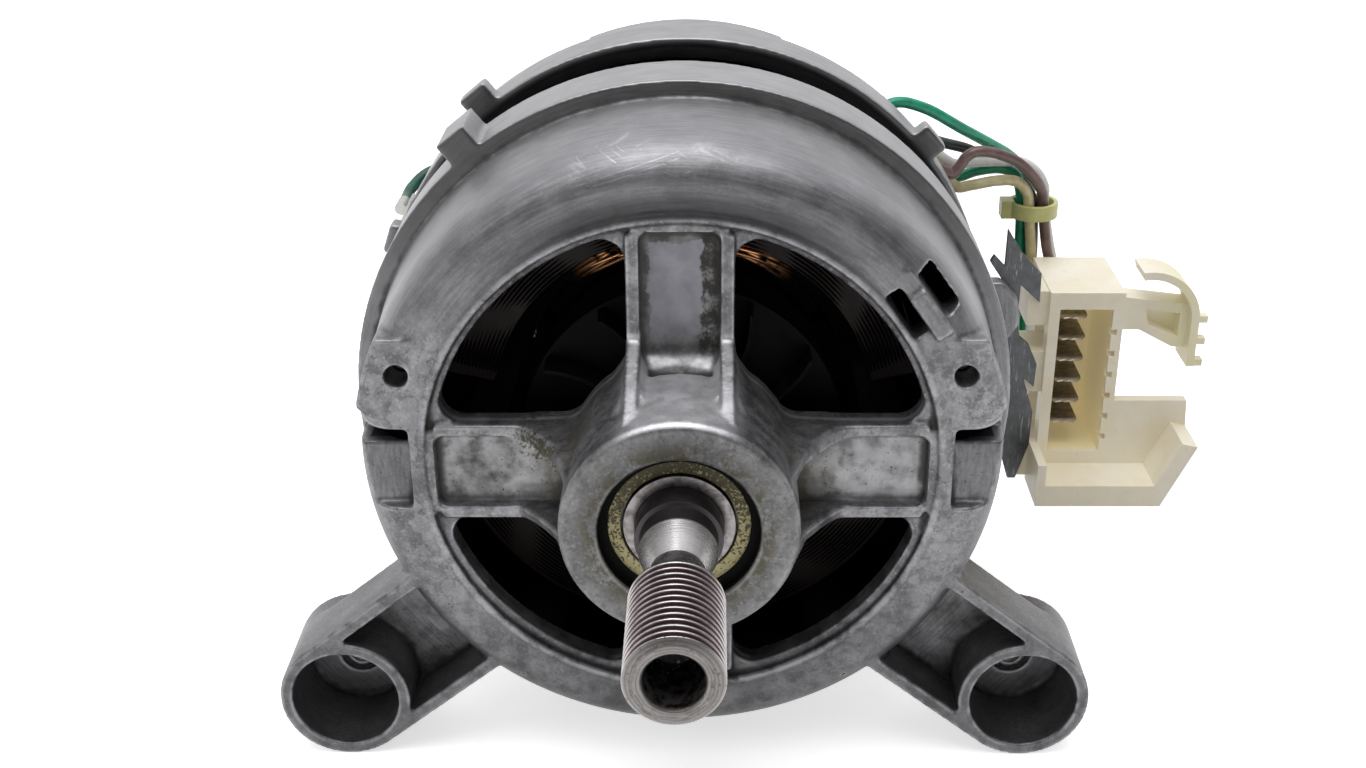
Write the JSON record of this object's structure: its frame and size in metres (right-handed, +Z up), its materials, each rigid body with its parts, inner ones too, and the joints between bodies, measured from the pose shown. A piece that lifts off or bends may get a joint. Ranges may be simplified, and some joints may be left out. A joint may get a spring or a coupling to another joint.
{
  "type": "washing machine motor",
  "caption": "Commutator motor with die-cast end shields, a grooved poly-V pulley turned on its shaft, cup-ended mounting lugs, and a cream blade connector on short leads.",
  "frame": {"origin": "on the shaft axis, at the middle of the grooved pulley", "axes": "+X right and +Z up as seen from the drive end, +Y back along the shaft to the tacho"},
  "size_m": [0.1903, 0.2045, 0.1292],
  "materials": {
    "cast_aluminium": "die-cast, grey, stained",
    "steel": "turned",
    "dark_steel": "dark spring steel",
    "core_sheet": "varnished sheet stack",
    "copper": "enamelled copper",
    "brass": "plain",
    "olive_ring": "yellow passivated, speckled",
    "black_rubber": "matt",
    "black_plastic": "moulded",
    "carbon": "pressed carbon",
    "cream_plastic": "moulded, slightly yellowed",
    "tinned_blade": "tinned, dull",
    "pale_green_plastic": "nylon",
    "green_insulation": "smooth",
    "brown_insulation": "smooth",
    "yellow_insulation": "smooth",
    "white_insulation": "smooth",
    "black_insulation": "smooth"
  },
  "bodies": {
    "frame": {"front_shield": "cast_aluminium", "rear_shield": "cast_aluminium", "front_bearing_outer_ring": "steel", "rear_bearing_outer_ring": "steel", "clamp_screws": "steel", "brush_screws": "steel", "brush_spring_left": "steel", "brush_spring_right": "steel", "earth_tag": "steel", "connector_clip": "dark_steel", "stator_core": "core_sheet", "field_coil_top": "copper", "field_coil_bottom": "copper", "tacho_coil": "copper", "brush_guide_left": "brass", "brush_guide_right": "brass", "front_bearing_dust_ring": "olive_ring", "front_bearing_seals": "black_rubber", "rear_bearing_seals": "black_rubber", "tacho_cap": "black_plastic", "brush_holder_left": "black_plastic", "brush_holder_right": "black_plastic", "connector_housing": "cream_plastic", "connector_blades": "tinned_blade", "cable_tie": "pale_green_plastic", "green_lead_long": "green_insulation", "green_lead_short": "green_insulation", "earth_lead": "green_insulation", "brown_lead": "brown_insulation", "yellow_lead": "yellow_insulation", "white_lead": "white_insulation", "black_lead": "black_insulation"},
    "rotor": {"shaft": "steel", "rotor_core": "core_sheet", "armature_winding": "copper", "commutator_bars": "copper", "commutator_hub": "black_plastic", "cooling_fan": "black_plastic", "front_bearing_inner_ring": "steel", "rear_bearing_inner_ring": "steel", "tacho_magnet": "dark_steel"},
    "front_balls": {"front_bearing_balls": "steel", "front_bearing_cage": "brass"},
    "rear_balls": {"rear_bearing_balls": "steel", "rear_bearing_cage": "brass"},
    "brush_left": {"carbon_brush_left": "carbon"},
    "brush_right": {"carbon_brush_right": "carbon"}
  },
  "joints": [
    {"name": "rotor_spin", "type": "hinge", "parent": "frame", "child": "rotor", "pos_m": [0, 0.0405, 0], "axis": [0, 1, 0], "continuous": true},
    {"name": "front_ball_spin", "type": "hinge", "parent": "frame", "child": "front_balls", "pos_m": [0, 0.0405, 0], "axis": [0, 1, 0], "continuous": true},
    {"name": "rear_ball_spin", "type": "hinge", "parent": "frame", "child": "rear_balls", "pos_m": [0, 0.17351, 0], "axis": [0, 1, 0], "continuous": true},
    {"name": "brush_left_slide", "type": "slide", "parent": "frame", "child": "brush_left", "axis": [-1, 0, 0], "range_m": [0, 0.008], "stiffness_N_per_m": 150, "springref_m": -0.02, "deforming": ["brush_spring_left"]},
    {"name": "brush_right_slide", "type": "slide", "parent": "frame", "child": "brush_right", "axis": [1, 0, 0], "range_m": [0, 0.008], "stiffness_N_per_m": 150, "springref_m": -0.02, "deforming": ["brush_spring_right"]}
  ],
  "couplings": [
    {"joint": "front_ball_spin", "follows": "rotor_spin", "ratio": 0.3808},
    {"joint": "rear_ball_spin", "follows": "rotor_spin", "ratio": 0.3645}
  ]
}
